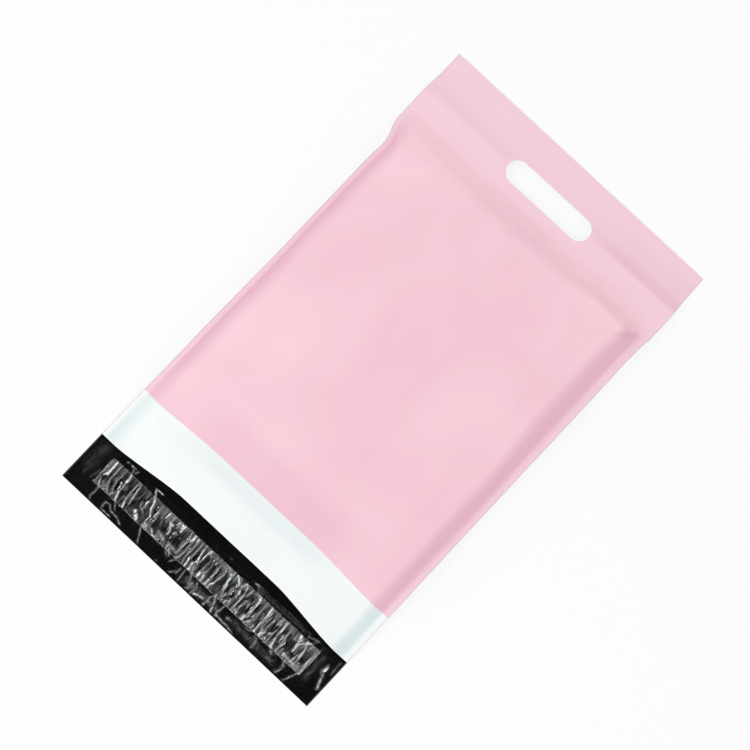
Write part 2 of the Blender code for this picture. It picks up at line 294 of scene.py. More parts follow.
def setback(u, v):
    """How far the front ply falls short of the back one. It climbs over the goods, and was cut askew."""
    goods = PRINT_SETBACK * ease((v - POUCH_START) / HANDLE_SLOPE)
    lip = (MOUTH_SETBACK - PRINT_SETBACK) * near_mouth(v)
    inward = min(max((LIP_END - abs(u)) / (LIP_END - LIP_FLAT), 0.0), 1.0)
    skew = MOUTH_SKEW * (1 + u / HALF_WIDTH) * near_mouth(v)
    return (goods + lip) * (inward + ease(inward)) / 2 + skew


def bead_height(u, v):
    """How much thicker than film the cut edge is. The bead ends just before the mouth."""
    if v > FRONT_LENGTH - BEAD_STOPS:
        return 0.0
    from_cut = HALF_WIDTH - abs(u)
    bead = BEAD_HEIGHT * math.exp(-((from_cut - BEAD_WIDTH) / BEAD_WIDTH) ** 2)
    return bead - BEAD_LOSS * ease(1 - from_cut / BEAD_LOSS_WIDTH)


def on_film(u, v, front):
    """A point on the outside of the film, on its front or its back ply."""
    on_pouch = min(v, FRONT_LENGTH)
    middle = seam_height(u, on_pouch)
    loose = PLY_GAP / 2 * ease((SEAL - abs(u)) / WELD_WIDTH) * ease((HANDLE_DEPTH - v) / WELD_WIDTH)
    bead = bead_height(u, v)
    x = u + edge_pull(u, v)
    y = SHEET_LENGTH / 2 - v
    share = opened(u, on_pouch)
    if not front:
        return Vector((x, y, max((middle - FILM - loose - bead) * (1 - share), 0.0)))
    raised = (goods_height(on_pouch) - middle - FILM) * share + wrinkles(u, on_pouch) * ease(share * 3)
    return Vector((x, y + setback(u, v), middle + FILM + loose + bead + raised))


def spaced(*zones):
    """Places along a line. Each zone is (start, end, spacing), and starts where the last one ends."""
    places = []
    for start, end, spacing in zones:
        steps = max(1, round(abs(end - start) / spacing))
        places += [start + (end - start) * step / steps for step in range(steps)]
    return places + [zones[-1][1]]


def select_only(piece):
    """Make a piece the active one, and the only one selected."""
    bpy.ops.object.select_all(action="DESELECT")
    piece.select_set(True)
    bpy.context.view_layer.objects.active = piece


def grid_sheet(name, columns, rows, place):
    """A grid of faces over columns and rows, whose corners place(column, row) sets."""
    bpy.ops.object.select_all(action="DESELECT")
    bpy.ops.mesh.primitive_grid_add(x_subdivisions=len(columns) - 1, y_subdivisions=len(rows) - 1, size=2)
    piece = bpy.context.object
    piece.name = name
    piece.data.name = name
    for corner in piece.data.vertices:
        column = columns[round((corner.co.x + 1) / 2 * (len(columns) - 1))]
        row = rows[round((corner.co.y + 1) / 2 * (len(rows) - 1))]
        corner.co = place(column, row)
    return piece


def apply_and_smooth(piece, angle):
    """Apply the modifiers in their order, and shade smooth except at edges sharper than the angle."""
    select_only(piece)
    for modifier in list(piece.modifiers):
        bpy.ops.object.modifier_apply(modifier=modifier.name)
    bpy.ops.object.shade_smooth_by_angle(angle=math.radians(angle))


def add_thickness(piece, name, thickness):
    """A modifier that gives a grid its thickness, below the surface that was set."""
    body = piece.modifiers.new(name, "SOLIDIFY")
    body.thickness = thickness
    body.offset = -1.0
    return body


def add_mark(piece, name, values):
    """A value at each corner, which a material reads."""
    piece.data.attributes.new(name, "FLOAT", "POINT").data.foreach_set("value", values)


def new_material(name, colour, roughness):
    """A material of one plain colour."""
    finish = bpy.data.materials.new(name)
    finish.use_nodes = True
    shader = finish.node_tree.nodes["Principled BSDF"]
    shader.inputs["Base Color"].default_value = (*colour, 1.0)
    shader.inputs["Roughness"].default_value = roughness
    return finish


def add_node(finish, kind, **values):
    """A node in a material, with its inputs set by name."""
    node = finish.node_tree.nodes.new(kind)
    for name, value in values.items():
        node.inputs[name.replace("_", " ")].default_value = value
    return node


def read_mark(finish, name):
    """A node in a material that gives the value of a mark."""
    node = finish.node_tree.nodes.new("ShaderNodeAttribute")
    node.attribute_name = name
    return node


def film_finish(name, colour, deeper, bare, painted_shade, roughness, grain):
    """Satin film: fine grain, faint streaks down the sheet where it was drawn, and soft changes of tone.
    Its colour is deeper in a painted shade over the middle of the goods, takes the tint of bare film on the
    handle and, as painted light, on the welds, is darker in a painted shade on the slopes and before the
    handle's crease, and it is grey at the melted cut."""
    finish = new_material(name, colour, roughness)
    links = finish.node_tree.links
    shader = finish.node_tree.nodes["Principled BSDF"]
    place = add_node(finish, "ShaderNodeTexCoord")
    streak_map = add_node(finish, "ShaderNodeMapping", Scale=(160.0, 9.0, 1.0))
    tone = add_node(finish, "ShaderNodeTexNoise", Scale=11.0, Detail=2.0, Roughness=0.4)
    streaks = add_node(finish, "ShaderNodeTexNoise", Scale=1.0, Detail=2.0)
    grains = add_node(finish, "ShaderNodeTexNoise", Scale=1500.0, Detail=1.0)
    for texture in (tone, grains, streak_map):
        links.new(place.outputs["Object"], texture.inputs["Vector"])
    links.new(streak_map.outputs["Vector"], streaks.inputs["Vector"])
    blend = finish.node_tree.nodes.new("ShaderNodeMix")
    blend.data_type = "RGBA"
    blend.inputs["A"].default_value = (*colour, 1.0)
    blend.inputs["B"].default_value = (*deeper, 1.0)
    share = add_node(finish, "ShaderNodeMapRange", From_Min=0.3, From_Max=0.75)
    links.new(tone.outputs["Fac"], share.inputs["Value"])
    links.new(share.outputs["Result"], blend.inputs["Factor"])
    painted = blend
    for mark, tint in (("painted_middle_shade", deeper), ("bare", bare), ("painted_shade", painted_shade), ("cut_edge", MELTED)):
        where = read_mark(finish, mark)
        tinted = finish.node_tree.nodes.new("ShaderNodeMix")
        tinted.data_type = "RGBA"
        tinted.inputs["B"].default_value = (*tint, 1.0)
        links.new(where.outputs["Fac"], tinted.inputs["Factor"])
        links.new(painted.outputs["Result"], tinted.inputs["A"])
        painted = tinted
    links.new(painted.outputs["Result"], shader.inputs["Base Color"])
    gloss = add_node(finish, "ShaderNodeMapRange", To_Min=roughness - 0.05, To_Max=roughness + 0.07)
    links.new(streaks.outputs["Fac"], gloss.inputs["Value"])
    links.new(gloss.outputs["Result"], shader.inputs["Roughness"])
    bump = add_node(finish, "ShaderNodeBump", Strength=grain, Distance=0.0001)
    links.new(grains.outputs["Fac"], bump.inputs["Height"])
    links.new(bump.outputs["Normal"], shader.inputs["Normal"])
    return finish


# Corners of the film: close together at the cut edges, on the slopes and round the handle's crease
EDGE_STEPS = (0.0, 0.00025, 0.0006, 0.0012, 0.0024)
film_columns = [-HALF_WIDTH + step for step in EDGE_STEPS]
film_columns += spaced((-SEAL, -0.106, 0.0011), (-0.106, -0.094, 0.002), (-0.094, 0.088, 0.0038),
                       (0.088, 0.1, 0.002), (0.1, SEAL, 0.0011))
film_columns += [HALF_WIDTH - step for step in reversed(EDGE_STEPS)]
front_rows = spaced((FRONT_LENGTH, PRINT_LENGTH, 0.0015), (PRINT_LENGTH, 0.3, 0.002), (0.3, 0.1, 0.0032),
                    (0.1, 0.054, 0.001), (0.054, 0.028, 0.0009), (0.028, 0.004, 0.002),
                    (0.004, 0.0004, 0.0009))
back_rows = spaced((0.0004, 0.004, 0.0012), (0.004, 0.028, 0.002), (0.028, 0.054, 0.0009),
                   (0.054, 0.1, 0.0016), (0.1, FRONT_LENGTH, 0.005), (FRONT_LENGTH, SHEET_LENGTH, 0.003))
fold_turns = (0.25, 0.5, 0.75)
film_rows = [(v, "front") for v in front_rows] + [(turn, "fold") for turn in fold_turns]
film_rows += [(v, "back") for v in back_rows]


def around_fold(u, turn):
    """The handle edge, where the sheet turns over from the front ply to the back one."""
    top = on_film(u, front_rows[-1], True)
    low = on_film(u, back_rows[0], False)
    middle = (top + low) / 2
    out = (top.z - low.z) / 2
    angle = math.pi * turn
    return Vector((middle.x, middle.y + out * math.sin(angle), middle.z + out * math.cos(angle)))


def film_place(u, row):
    """A point on the film. Each row is a place down the sheet and its ply, or a share of the fold's turn."""
    v, part = row
    if part == "fold":
        return around_fold(u, v)
    return on_film(u, v, part == "front")


film = grid_sheet("bag_film_dressed", film_columns, film_rows, film_place)
print_row = film_rows.index((PRINT_LENGTH, "front"))
faces_across = len(film_columns) - 1
for face in film.data.polygons:
    face.material_index = 1 if face.index // faces_across < print_row else 0


# How much shade is painted into the film: on the right slope, over the end of the goods, and before the
# crease
PAINTED_SHADE_ON_RIGHT = 0.95
PAINTED_SHADE_OVER_END = 0.4
LESS_OVER_END_RIGHT = 0.6
LESS_LOW_LEFT = 0.3
PAINTED_SHADE_ON_HANDLE = 0.17
PAINTED_SHADE_AT_RIDGE = 0.4
LEFT_OF_RIDGE_SHARE = 0.3

# Size of the patch of painted shade over the middle of the goods, and of the grey line at the cut
GOODS_MIDDLE = 0.2
PATCH_ACROSS = 0.07
PATCH_DOWN = 0.1
MELTED_SHARE = 0.6
MELTED_WIDTH = 0.0005


def painted_shade_beside(u, v):
    """How much shade is painted on the slopes beside the goods."""
    left, right = side_slopes(v)
    from_left = (u + SEAL) / left
    from_right = (SEAL - u) / right
    beside = ease(from_left / 0.14 + 0.4) * (1 - ease(from_left - 0.1))
    beside += PAINTED_SHADE_ON_RIGHT * ease(from_right / 0.25) * (1 - ease((from_right - 0.5) / 0.6))
    return beside * (1 - LESS_LOW_LEFT * ease((v - GOODS_END) / 0.03) * ease(-u / 0.05))


def painted_shade_over_end(u, v):
    """How much shade is painted where the film comes down over the end of the goods."""
    over_end = ease((v - GOODS_END - 0.004) / 0.02) * (1 - ease((v - PRINT_LENGTH - 0.006) / 0.018))
    over_end *= ease((0.1 - abs(u)) / 0.06) * (1 - LESS_OVER_END_RIGHT * ease((u - 0.05) / 0.03))
    return PAINTED_SHADE_OVER_END * over_end


def painted_shade_before_ridge(u, v):
    """How much shade is painted on the handle as it climbs to its crease, most of all at its right end."""
    painted_shade = PAINTED_SHADE_ON_HANDLE * ease((v - 0.006) / 0.01) + PAINTED_SHADE_AT_RIDGE * ease((v - 0.024) / 0.009)
    painted_shade *= 1 - ease((v - ridge_place(u) - 0.0018) / 0.004)
    return painted_shade * (LEFT_OF_RIDGE_SHARE + (1 - LEFT_OF_RIDGE_SHARE) * ease((u - 0.03) / 0.05))


def film_marks(u, row):
    """How much a place has painted shade over the middle of the goods or on a slope, is bare, with painted
    light on the welds, or is at the melted cut.
    """
    v, part = row
    v = 0.0 if part == "fold" else v
    on_pouch = open_along(u, v)
    # A patch of painted shade, darker over the middle of the goods
    patch = ease(1 - math.hypot(u / PATCH_ACROSS, (v - GOODS_MIDDLE) / PATCH_DOWN))
    on_handle = 1 - ease((v - HANDLE_DEPTH) / 0.008 + 0.75)
    # Painted light on the welds beside the goods, which take the lighter bare tint against the shade of the
    # goods' walls
    painted_light_on_weld = ease((abs(u) - SEAL) / 0.001 + 0.5)
    # Painted shade on the slopes beside the goods and over their end, and on the handle before its crease
    painted_shade = min(painted_shade_beside(u, v) + painted_shade_over_end(u, v), 1.0) * on_pouch
    return {
        "painted_middle_shade": patch * on_pouch,
        "bare": max(on_handle, painted_light_on_weld),
        "painted_shade": painted_shade + painted_shade_before_ridge(u, v),
        "cut_edge": MELTED_SHARE * math.exp(-((HALF_WIDTH - abs(u)) / MELTED_WIDTH) ** 2),
    }


corners_across = len(film_columns)
marks = [film_marks(film_columns[corner % corners_across], film_rows[corner // corners_across])
         for corner in range(len(film.data.vertices))]
for name in marks[0]:
    add_mark(film, name, [mark[name] for mark in marks])

PINK = (0.953, 0.650, 0.722)
# Soft random tone, and painted shade over the middle of the goods
DEEPER_PINK = (0.908, 0.564, 0.653)
# The tint of bare film on the handle, and painted light on the welds
BARE_PINK_AND_WELD_LIGHT = (0.935, 0.650, 0.736)
# Painted shade on the slopes
PAINTED_SHADE_PINK = (0.805, 0.460, 0.560)
WHITE = (0.935, 0.960, 0.960)
WHITE_SHADE = (0.905, 0.940, 0.945)
# Painted shade in the white band just past the print edge
PAINTED_SHADE_WHITE = (0.700, 0.790, 0.800)
BLACK = (0.0018, 0.0018, 0.0020)
BLACK_SHEEN = (0.004, 0.004, 0.0045)
MELTED = (0.42, 0.38, 0.40)
pink = film_finish("pink_film", PINK, DEEPER_PINK, BARE_PINK_AND_WELD_LIGHT, PAINTED_SHADE_PINK, 0.45, 0.25)
white = film_finish("white_band", WHITE, WHITE_SHADE, WHITE, PAINTED_SHADE_WHITE, 0.42, 0.2)
black = film_finish("black_inside", BLACK, BLACK_SHEEN, BLACK, BLACK, 0.24, 0.12)
for finish in (pink, white, black, black):
    film.data.materials.append(finish)

# The inner faces take the material two places on in the list, which is black
skin = add_thickness(film, "film_thickness", FILM * 0.9)
skin.use_even_offset = False
skin.material_offset = 2

bpy.ops.object.select_all(action="DESELECT")
bpy.ops.mesh.primitive_cylinder_add(vertices=96, radius=HOLE_WIDTH / 2, depth=FILL_DEPTH * 2)
punch = bpy.context.object
for corner in punch.data.vertices:
    corner.co.x += math.copysign((HOLE_LENGTH - HOLE_WIDTH) / 2, corner.co.x)
    corner.co.y += SHEET_LENGTH / 2 - HOLE_FROM_EDGE
punch.data.materials.append(pink)
hole = film.modifiers.new("hand_hole", "BOOLEAN")
hole.operation = "DIFFERENCE"
hole.solver = "EXACT"
hole.object = punch
apply_and_smooth(film, 40)
bpy.data.objects.remove(punch)

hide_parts("bag_film")
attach(film, "root")


# The glue. A ribbon of hot-melt glue, laid wet across the inner face of the flap. It is milky where
# the folds of the liner over it press on it, most of all along its two edges, and clear between them.
glue_low, glue_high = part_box("adhesive_strip")
glue_thickness = glue_high.z - glue_low.z
GLUE_EDGE_WAVER = 0.0002
GLUE_ROUND = 0.0006
GLUE_STEP = 0.0005

# Heights of the glue, as shares of the height of its solid
GLUE_EDGE_TOP = 0.45
GLUE_SWELL = 0.4
GLUE_WAVE = 0.12
GLUE_BODY = 0.4

# How milky the glue is: everywhere, near its edges besides, at most, and what it loses between the folds
GLUE_MILK = 0.25
GLUE_MILK_EDGE = 0.06
GLUE_EDGE_BAND = 0.008
GLUE_MILK_MOST = 0.6
CLEAR_BETWEEN = 0.78

# Folds of the liner that cling to the glue. Each has how white it is, a white that is partly a painted
# highlight, its half width, and the places that it runs through: how far across the sheet and how far down
# it, all in millimetres.
CLINGING_FOLDS = (
    (0.9, 1.0, (-102.5, 405), (-102.3, 412), (-102.2, 417.5), (-104, 419.5)),
    (0.35, 1.4, (-104.8, 407), (-105, 420)),
    (0.6, 0.7, (-98.4, 405), (-98.3, 419), (-97, 423), (-94.3, 427)),
    (0.4, 1.5, (-93.8, 405), (-93.5, 411)),
    (0.5, 0.7, (-93.3, 411), (-93.7, 418), (-92, 423), (-90, 427)),
    (0.95, 1.1, (-88.5, 405.5), (-87.5, 409), (-87.4, 413)),
    (0.65, 0.55, (-87.4, 413), (-87.4, 421)),
    (0.9, 0.9, (-87, 421.5), (-86, 425), (-85, 429)),
    (0.55, 0.8, (-101, 423), (-99.5, 427), (-96.5, 424.5), (-94, 427.5), (-90.5, 427.5), (-88.5, 424)),
    (0.62, 0.8, (-80, 405), (-80, 415), (-79.2, 422), (-77.4, 428.5)),
    (0.65, 0.7, (-78, 405), (-76.6, 413), (-75.2, 423)),
    (0.85, 0.9, (-78.5, 424.5), (-77, 428)),
    (0.5, 0.8, (-69.5, 406), (-68.5, 411)),
    (0.6, 0.7, (-65, 411), (-65.3, 419), (-62.5, 421.5)),
    (0.4, 0.6, (-68.5, 415), (-67, 419)),
    (0.78, 0.9, (-62, 408), (-59.5, 415), (-56.8, 419.5)),
    (0.45, 0.9, (-54.2, 405), (-53.5, 417)),
    (0.45, 1.7, (-54, 422), (-53.5, 427.5)),
    (0.4, 0.7, (-50.3, 405), (-50, 414)),
    (0.38, 1.4, (-46, 405), (-45.5, 413)),
    (0.6, 0.7, (-42.3, 405), (-41.8, 411)),
    (0.88, 1.2, (-42.5, 411.5), (-39.5, 412.3)),
    (0.78, 0.9, (-41.2, 413), (-38.4, 417.5), (-38.4, 420)),
    (0.5, 2.4, (-44, 423.5), (-38.5, 424.5)),
    (0.75, 0.8, (-50, 425), (-46, 428), (-43, 427.5)),
    (0.6, 0.7, (-36.2, 405), (-35.8, 411)),
    (0.85, 1.1, (-31.8, 405), (-32.2, 411.5)),
    (0.65, 1.1, (-34.3, 414.6), (-33.6, 415.2)),
    (0.42, 1.7, (-31.5, 424.5), (-24, 425)),
    (0.6, 0.7, (-25.4, 405.5), (-23.6, 410.5), (-23.6, 423)),
    (0.9, 1.0, (-21.4, 405), (-20.8, 411.5)),
    (0.6, 0.6, (-20.3, 412), (-19.8, 420), (-19.8, 427.5)),
    (0.75, 0.8, (-20, 423.5), (-20.8, 427.5)),
    (0.6, 0.65, (-18, 405), (-16.8, 412), (-16.8, 420), (-16, 427)),
    (0.55, 0.7, (-14, 405), (-13.2, 412), (-13.6, 421)),
    (0.92, 0.85, (-13.4, 422), (-12.6, 428)),
    (0.82, 0.75, (-10, 405), (-9.4, 412)),
    (0.78, 0.85, (-9.2, 412), (-8.2, 417), (-6.2, 421)),
    (0.85, 0.85, (-4, 405), (-5.4, 411.5)),
    (0.6, 0.7, (-5.5, 412), (-5.8, 418), (-7.5, 420), (-9.5, 422.5)),
    (0.95, 1.3, (-9.8, 422.5), (-8.5, 428)),
    (0.65, 1.2, (-6.5, 423), (-6, 427.5)),
    (0.35, 2.4, (1, 407.5), (10, 408)),
    (0.45, 0.7, (-0.5, 411), (-0.5, 423)),
    (0.45, 0.7, (2.8, 413), (3, 423)),
    (0.88, 1.3, (-0.5, 423.8), (0, 427.5)),
    (0.75, 1.4, (3, 423.8), (3.8, 427.5)),
    (0.5, 0.7, (7.6, 412), (8, 422)),
    (0.78, 1.0, (7.5, 423), (8, 428)),
    (0.7, 0.8, (11.5, 405.5), (13.8, 411.5), (13.3, 418), (11, 427)),
    (0.72, 0.7, (14.3, 405), (15.4, 409)),
    (0.62, 0.7, (18.5, 405), (19.3, 407.5)),
    (0.88, 1.1, (18.3, 408.5), (19.5, 415), (20.6, 419)),
    (0.6, 0.7, (20.8, 420), (22.8, 426)),
    (0.9, 1.1, (22.5, 406), (25.5, 408.5), (27.8, 411)),
    (0.4, 1.2, (26, 417), (26.5, 421)),
    (0.66, 0.8, (30.6, 413), (30.5, 407.5), (32.5, 405.6), (34.3, 409), (35.6, 414), (35.6, 428)),
    (0.88, 1.0, (31.5, 406), (33.5, 407.5)),
    (0.8, 0.8, (31, 413.5), (32, 419)),
    (0.45, 0.7, (32, 419), (31.6, 429)),
    (0.55, 0.7, (37.6, 405), (37.9, 412)),
    (0.6, 0.7, (39.6, 416), (38.8, 423)),
    (0.58, 1.7, (37, 426), (40, 426.5)),
    (0.97, 1.2, (45.3, 405.5), (47.2, 408.5), (47.4, 412)),
    (0.62, 0.7, (47.4, 412), (47.4, 423)),
    (0.97, 1.3, (46.3, 424.3), (46, 428)),
    (0.6, 0.7, (51.8, 418), (50.8, 422)),
    (0.75, 1.0, (49.3, 428), (51.5, 424.5)),
    (0.48, 0.8, (53, 405), (53, 427)),
    (0.88, 1.0, (58, 405), (58.9, 411.5)),
    (0.68, 0.65, (58.9, 411), (59, 428)),
    (0.55, 0.7, (58.5, 405.8), (61, 406.2)),
    (0.5, 0.6, (61.8, 412), (61.7, 423)),
    (0.48, 0.7, (65, 405), (65, 423)),
    (0.88, 1.3, (63.8, 423), (64, 429)),
    (0.45, 1.8, (70, 406.5), (70.5, 411.5)),
    (0.88, 0.85, (74, 405), (74.3, 414)),
    (0.65, 0.55, (74.3, 414), (74.8, 422)),
    (0.88, 0.9, (75, 422), (76.4, 428.5)),
    (0.65, 0.9, (68.6, 421.5), (71, 419.7)),
    (0.4, 0.7, (68.5, 422), (68.2, 428)),
    (0.4, 0.7, (71, 421), (71.8, 428)),
    (0.42, 2.2, (78, 407), (80.5, 409)),
    (0.52, 0.6, (77, 415), (78.8, 421)),
    (0.58, 0.8, (79.5, 413), (81, 420), (81.8, 428)),
    (1.0, 1.3, (88, 405.5), (88.8, 408.5), (89.3, 411)),
    (0.82, 0.8, (90.3, 412), (90.5, 419)),
    (0.92, 1.1, (97.5, 405.5), (95, 407.5)),
    (0.8, 0.8, (95.5, 407), (91.2, 411.8)),
    (0.8, 0.95, (95.5, 408.5), (97, 413), (97.4, 420)),
    (0.52, 0.7, (100, 407), (98.5, 411)),
    (0.45, 1.4, (104.5, 405.5), (104.5, 422)),
    (0.58, 0.6, (106.2, 405), (106.1, 427)),
    (0.56, 1.9, (87, 425.6), (95, 426), (104, 425.6)),
)


# How far a fold is felt beside it, how much its course wavers, and the half width at which it is streaky
FOLD_REACH = 0.003
FAR_OFF = 0.004
WAVER_ACROSS = 0.0005
WAVER_DOWN = 0.0004
STREAKY_FROM = 0.0016
CORE_SHARE = 0.62
CORE_WIDTH = 0.65
SKIRT_WIDTH = 1.35


def in_metres(table):
    """Folds as (whiteness, half width, places, how far left and right they are felt), all in metres."""
    folds = []
    for white, half, *places in table:
        half /= 1000
        places = [Vector(place) / 1000 for place in places]
        reach = max(3 * half, FOLD_REACH)
        left = min(place.x for place in places) - reach
        right = max(place.x for place in places) + reach
        folds.append((white, half, places, left, right))
    return folds


def folds_at(folds, x, v):
    """How white the nearest folds make a place on the sheet, and how far from it the nearest one is."""
    waver = speckle(x, v, 0.003, 0.005, 59.0) + 0.5 * speckle(x, v, 0.0012, 0.002, 60.0)
    spot = Vector((x + WAVER_ACROSS * waver, v + WAVER_DOWN * waver))
    broken = speckle(x, v, 0.0014, 0.0035, 61.0)
    whitest = 0.0
    nearest = FAR_OFF
    for white, half, places, left, right in folds:
        if not left < x < right:
            continue
        streaks = 1 + min(half / STREAKY_FROM, 1.0) * broken
        for start, end in zip(places, places[1:]):
            run = end - start
            share = min(max((spot - start).dot(run) / run.length_squared, 0.0), 1.0)
            off = (start + run * share - spot).length
            nearest = min(nearest, off)
            level = CORE_SHARE * math.exp(-(off / half / CORE_WIDTH) ** 2)
            level += (1 - CORE_SHARE) * math.exp(-(off / half / SKIRT_WIDTH) ** 2)
            whitest = max(whitest, white * level * streaks)
    return whitest, nearest


clinging_folds = in_metres(CLINGING_FOLDS)


def on_glue(x, v):
    """1 over the glue and 0 beside it."""
    y = SHEET_LENGTH / 2 - v
    inside = min(x - glue_low.x, glue_high.x - x, y - glue_low.y, glue_high.y - y)
    return ease(inside / 0.0003 + 0.5)


def glue_milk(x, y):
    """How milky the glue is: more along its edges and to the right, less between the folds, and streaky."""
    v = SHEET_LENGTH / 2 - y
    _, off = folds_at(clinging_folds, x, v)
    by_edge = 1 - ease(min(y - glue_low.y, glue_high.y - y) / GLUE_EDGE_BAND)
    pressed = by_edge + (1 - by_edge) * (1 - CLEAR_BETWEEN * ease((off - 0.0006) / 0.0009))
    streak = 1 + 2.0 * speckle(x, v, 0.0012, 0.008, 71.0)
    patch = 1 + 0.9 * speckle(x, v, 0.016, 0.02, 73.0)
    along = 0.6 + 0.4 * ease((x + 0.08) / 0.03) + 0.3 * ease((x - 0.03) / 0.04)
    level = (GLUE_MILK + GLUE_MILK_EDGE * by_edge) * streak * patch * along
    return min(max(level * pressed, 0.0), GLUE_MILK_MOST)


def glue_place(across, down):
    """A point on the glue's top. The shares run from 0 to 1 across the ribbon and down it."""
    x = glue_low.x + (glue_high.x - glue_low.x) * across
    y = glue_low.y + (glue_high.y - glue_low.y) * down
    edge = min(down, 1 - down)
    waver = GLUE_EDGE_WAVER * rumple(x, down * 0.1, 0.012, 0.1, 23.0) * (1 - ease(edge * 6))
    rounded = ease(edge * (glue_high.y - glue_low.y) / GLUE_ROUND)
    height = glue_low.z + glue_thickness * (GLUE_EDGE_TOP + GLUE_SWELL * rounded)
    height += glue_thickness * GLUE_WAVE * rumple(x, y, 0.006, 0.02, 29.0) * rounded
    return Vector((x, y + waver, height))


glue_columns = spaced((0.0, 1.0, GLUE_STEP / (glue_high.x - glue_low.x)))
glue_rows = [0.0, 0.012, 0.025, 0.05] + spaced((0.075, 0.925, 0.025)) + [0.95, 0.975, 0.988, 1.0]
glue = grid_sheet("glue_ribbon", glue_columns, glue_rows, glue_place)
add_mark(glue, "milky", [glue_milk(corner.co.x, corner.co.y) for corner in glue.data.vertices])
add_thickness(glue, "glue_thickness", glue_thickness * GLUE_BODY)
apply_and_smooth(glue, 50)

milky = new_material("hot_melt_glue", (0.62, 0.62, 0.59), 0.3)
milky_shader = milky.node_tree.nodes["Principled BSDF"]
glue_read = read_mark(milky, "milky")
milky.node_tree.links.new(glue_read.outputs["Fac"], milky_shader.inputs["Alpha"])
glue.data.materials.append(milky)
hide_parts("adhesive_strip")
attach(glue, "root")


# The release liner. A strip of clear, slippery film over the glue, with a bare tail to peel it by.
# It was laid slack, so it lies in many narrow folds across the ribbon, which whiten at their crests,
# and its tail is creased at random. The white of the folds is partly a painted highlight, and a few wide
# soft patches of it are painted sheen.
liner_low, liner_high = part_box("release_liner")
LINER_STEP = 0.0005
LINER_ROW = 0.0007
GLUE_EDGE_STEP = 0.0002
LINER_FILM = 0.00006
LINER_RAGGED = 0.0017
OVER_GLUE = 0.00045
FOLD_HEIGHT = 0.00045
FOLD_WHITE_AND_HIGHLIGHT = 0.95
RIPPLE_WIDTH = ((-0.11, 0.0058), (-0.064, 0.0056), (-0.048, 0.0032), (0.03, 0.0032), (0.046, 0.0044),
                (0.11, 0.0044))
RIPPLE_HEIGHT = 0.0003
SLACK = 0.00008

# Hair-thin white streaks over the glue, partly painted highlight, a little whiter from the middle to the
# right
STREAK_WHITE_AND_HIGHLIGHT = 0.34
STREAK_WHITE_AND_HIGHLIGHT_RIGHT = 0.19

